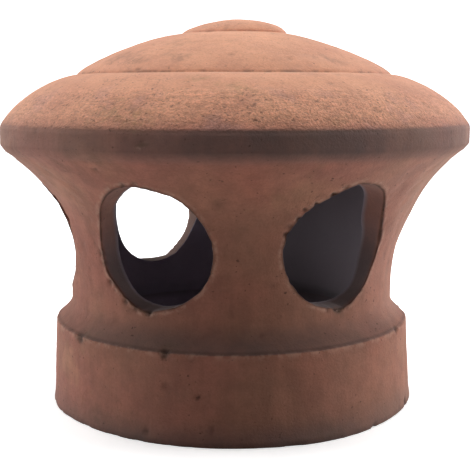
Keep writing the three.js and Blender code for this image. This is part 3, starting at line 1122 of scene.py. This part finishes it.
clumps = clay.clouds("sand clumps", 330, 3, 0.3, 0.7, 0.91, 1.09, 0.65)
clay.lay(clumps, clay.times("clumps here", sandy, 0.9), "clumped sand", "MULTIPLY")
fine_grain = clay.grain("fine grain", 950, 2, 0.7)
fine_tint = clay.ranged(fine_grain, "grain strength", 0.3, 0.7, 0.84, 1.16)
clay.lay(fine_tint, clay.ranged(sandy, "grain here", 0, 1, 0.3, 0.9), "grain of the sand", "MULTIPLY")
waves = clay.clouds("wavy lines", (150, 150, 900), 3, 0.3, 0.7, 0.88, 1.12, 0.6)
clay.lay(waves, clay.ranged(sandy, "waves here", 0, 1, 0.1, 0.8), "wavy sand", "MULTIPLY")
rust = clay.clouds("rust grains", 640, 1, 0.6, 0.74, 0, 0.65, 0.5)
rust_here = clay.ranged(sandy, "rust here", 0, 1, 0.12, 1.0)
clay.lay(RUST_GRAIN, clay.times("rust amount", rust, rust_here), "rust grains")
print("nodes after the sand:", len(clay.tree.nodes))

# %% Terracotta: dirt, painted shade and light, crevices and rubbed edges
# Painted light on the flanks
clay.lay_broken("bloom", PALE_CLAY, 38, 0.3, 0.7, 0.2, 0.5)
# Painted shade on the front
clay.lay_broken("film", UMBER, 30, 0.3, 0.7, 0.12, 0.3)
# Grey dirt with painted shade: above the arris, low on the foot and on the rim band, heaviest at the front
clay.lay_broken("cove_dirt_and_shade", GREY_DIRT_AND_SHADE, 34, 0.3, 0.65, 0.45, 0.62)
clay.lay_broken("foot_dirt_and_shade", GREY_DIRT_AND_SHADE, 26, 0.35, 0.65, 0.45, 0.75)
clay.lay_broken("band_dirt_and_shade", GREY_DIRT_AND_SHADE, 40, 0.3, 0.7, 0.62, 0.8)
clay.lay_broken("smudge", UMBER, 300, 0.35, 0.6, 0.15, 0.8, 5)
specks = clay.clouds("specks", 560, 1, 0.7, 0.78, 0, 0.7, 0.4)
specks_here = clay.clouds("where specks lie", 45, 2, 0.4, 0.6, 0.2, 1.0)
clay.lay(CREVICE, clay.times("speck amount", specks, specks_here), "dark specks")

clay.lay_stored("cut_darkening", CUT_DARK, 0.85)
clay.lay_stored("warm_cut", UMBER, 0.5)
clay.lay_stored("ash", ASH, 0.92)
# Painted light on the inner wall at the back left
clay.lay_stored("painted_inner_light", PALE_INNER_LIGHT, 0.9)
# Painted shade in the pits and chips
clay.lay_stored("pitted", CREVICE, 0.85)
clay.lay_broken("pale_rim", PALE_CLAY, 210, 0.42, 0.62, 0.0, 0.5)
# Dark lines, partly crevices and partly painted shade
clay.lay_broken("dirt_and_shade_lines", CREVICE, 130, 0.3, 0.6, 0.45, 0.92)
# Painted shade in the crease at the crown ring
clay.lay_broken("painted_ring_shade", UMBER, 110, 0.42, 0.62, 0.08, 0.7)
clay.lay_stored("scar", UMBER, 0.85)

crack_lines = clay.grain("crack lines", (190, 190, 75), 3, 0.6)
crack_middle = clay.reckon("SUBTRACT", "crack middle", crack_lines, 0.5)
crack_distance = clay.reckon("ABSOLUTE", "crack distance", crack_middle)
crack_near = clay.ranged(crack_distance, "crack width", 0.0, 0.022, 1, 0)
crack_amount = clay.times("crack amount", crack_near, clay.stored("hairline"))
clay.lay(UMBER, clay.times("crack strength", crack_amount, 0.7), "hairline cracks")
print("nodes after the dirt:", len(clay.tree.nodes))

# %% [markdown]
# The shape of the finest grain is left to bump: sand under a millimetre, fine turning lines and a soft
# unevenness. Each has its own strength, and they are added before one Bump node turns them to slopes. A
# little sheen stands for the dust, which catches light at a shallow angle, so the clay's flanks look
# powdery.

# %% Terracotta: relief and the shader
coarse_grain = clay.grain("coarse grain", 330, 4, 0.6)
relief = clay.reckon("ADD", "grain relief", coarse_grain, clay.times("fine part", fine_grain, 1.3))
relief = clay.times("relief by place", relief, clay.ranged(sandy, "grain depth", 0, 1, 0.4, 1.2))
relief = clay.reckon("ADD", "relief with rings", relief, clay.times("ring part", ring_grain, 0.2))
bump = clay.node("ShaderNodeBump", "clay grain", {"Strength": 0.8, "Distance": 0.0005, "Height": relief})

FIRED_CLAY = {
    "Base Color": clay.colour,
    "Roughness": clay.ranged(coarse_grain, "matt to rubbed", 0.3, 0.7, 0.95, 0.8),
    "Normal": bump.outputs["Normal"],
    "Specular IOR Level": 0.28,
    "Diffuse Roughness": 0.7,
    "Sheen Weight": 0.1,
    "Sheen Roughness": 0.5,
}
shader = clay.node("ShaderNodeBsdfPrincipled", "fired clay", FIRED_CLAY)
clay.node("ShaderNodeOutputMaterial", "surface", {"Surface": shader.outputs["BSDF"]})
clay_mesh.materials.append(terracotta)
print("nodes in the material:", len(clay.tree.nodes))

# %% The piece itself
clay_lantern = bpy.data.objects.new("clay_lantern", clay_mesh)
bpy.context.scene.collection.objects.link(clay_lantern)
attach(clay_lantern, "root")
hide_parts("lantern_body")
print("the piece and its faces:", clay_lantern.name, len(clay_mesh.polygons))

# %% [markdown]
# ## Floor, backdrop and light
# The light is bright and soft from above and from both sides, and hardly any comes from the front. That
# is why the top is pale, the flanks glow and the front is dark; light and shade painted into the clay's
# colour add to it. The white surround is a round floor that turns up into a wall like a bowl, so every view
# has the same plain ground. The floor and the wall are white for the camera only, and a dimmer second
# floor bounces the light that really reaches the clay from below.

# %% Stage
def stage_disc(name, profile, steps):
    """Surface of revolution for the stage, in metres, its rings joined from the axis outwards."""
    azimuths = np.linspace(0, FULL_TURN, steps, endpoint=False)
    points = around(profile[:, 0, None], azimuths[None, :], profile[:, 1, None])
    mesh = bpy.data.meshes.new(name)
    quads = grid_quads(len(profile), steps, True)[:, ::-1]
    mesh.from_pydata(points.reshape(-1, 3).tolist(), [], quads.tolist())
    mesh.polygons.foreach_set("use_smooth", np.ones(len(mesh.polygons), bool))
    disc = bpy.data.objects.new(name, mesh)
    bpy.context.scene.collection.objects.link(disc)
    return disc


def plain_material(name, colour, glow):
    """Matt material of one colour that may also glow a little."""
    material = bpy.data.materials.new(name)
    material.use_nodes = True
    principled = material.node_tree.nodes["Principled BSDF"]
    principled.inputs["Base Color"].default_value = (*colour, 1)
    principled.inputs["Roughness"].default_value = 0.9
    principled.inputs["Specular IOR Level"].default_value = 0.1
    principled.inputs["Emission Color"].default_value = (*colour, 1)
    principled.inputs["Emission Strength"].default_value = glow
    return material


def glow_with_distance(material, near, far, near_glow, far_glow):
    """Lets the glow grow with the distance from the middle, so that the floor runs into the wall unseen."""
    recipe = Recipe(material.node_tree)
    sockets = {"Vector": recipe.place}
    away = recipe.node("ShaderNodeVectorMath", "distance from the middle", sockets, operation="LENGTH")
    glow = recipe.ranged(away.outputs["Value"], "glow", near, far, near_glow, far_glow)
    recipe.fill(material.node_tree.nodes["Principled BSDF"].inputs["Emission Strength"], glow)


# %% White bowl and bounce floor
FLOOR_RADIUS = 1.15
WALL_RADIUS = 1.75
WALL_TOP = 2.2
STAGE_STEPS = 96
AXIS_GAP = 0.001
BOUNCE_DROP = -0.002
WHITE = (0.92, 0.92, 0.92)
BOUNCE_GREY = (0.48, 0.48, 0.48)

sweep = arc((FLOOR_RADIUS, WALL_RADIUS - FLOOR_RADIUS), WALL_RADIUS - FLOOR_RADIUS, -90, 0, 16)
wall = line(sweep[-1], (WALL_RADIUS, WALL_TOP), 4)
bowl = stage_disc("white_bowl", joined(line((AXIS_GAP, 0), (FLOOR_RADIUS, 0), 8), sweep, wall), STAGE_STEPS)
white = plain_material("white_bowl", WHITE, 1.0)
glow_with_distance(white, near=0.15, far=0.6, near_glow=0.52, far_glow=1.15)
bowl.data.materials.append(white)
bowl.visible_diffuse = False
bowl.visible_glossy = False
bowl.visible_shadow = False

bounce_profile = line((AXIS_GAP, BOUNCE_DROP), (FLOOR_RADIUS, BOUNCE_DROP), 4)
bounce = stage_disc("bounce_floor", bounce_profile, STAGE_STEPS)
bounce.data.materials.append(plain_material("bounce_grey", BOUNCE_GREY, 0.0))
bounce.visible_camera = False
print("rings of the bowl:", len(bowl.data.vertices) // STAGE_STEPS)

# %% Lights: name, place, width and height in metres, and power in watts
MIDDLE = (0, 0, 0.1)


def soft_light(name, place, width, height, power):
    """Area light at a place, turned to face the middle of the lantern; larger is softer."""
    data = bpy.data.lights.new(name, "AREA")
    data.shape = "RECTANGLE"
    data.size = width
    data.size_y = height
    data.energy = power
    lamp = bpy.data.objects.new(name, data)
    lamp.location = place
    lamp.rotation_euler = (Vector(MIDDLE) - Vector(place)).to_track_quat("-Z", "Y").to_euler()
    lamp.visible_camera = False
    bpy.context.scene.collection.objects.link(lamp)


LAMPS = [
    ("overhead", (0, 0.08, 1.1), 1.3, 0.8, 17.2),
    ("left_side", (-1.0, 0.05, 0.22), 0.6, 0.7, 8.1),
    ("right_side", (1.0, 0.05, 0.22), 0.6, 0.7, 9.7),
    ("left_back", (-0.8, 0.7, 0.35), 0.6, 0.8, 1.4),
    ("right_back", (0.8, 0.7, 0.35), 0.6, 0.8, 3.0),
]
for lamp in LAMPS:
    soft_light(*lamp)
print("lamps and watts in all:", len(LAMPS), round(sum(lamp[-1] for lamp in LAMPS), 1))

# %% World
ROOM_LIGHT = 0.02
world = bpy.data.worlds.new("room")
world.use_nodes = True
world.node_tree.nodes["Background"].inputs["Color"].default_value = (1, 1, 1, 1)
world.node_tree.nodes["Background"].inputs["Strength"].default_value = ROOM_LIGHT
bpy.context.scene.world = world
print("light of the room:", ROOM_LIGHT)
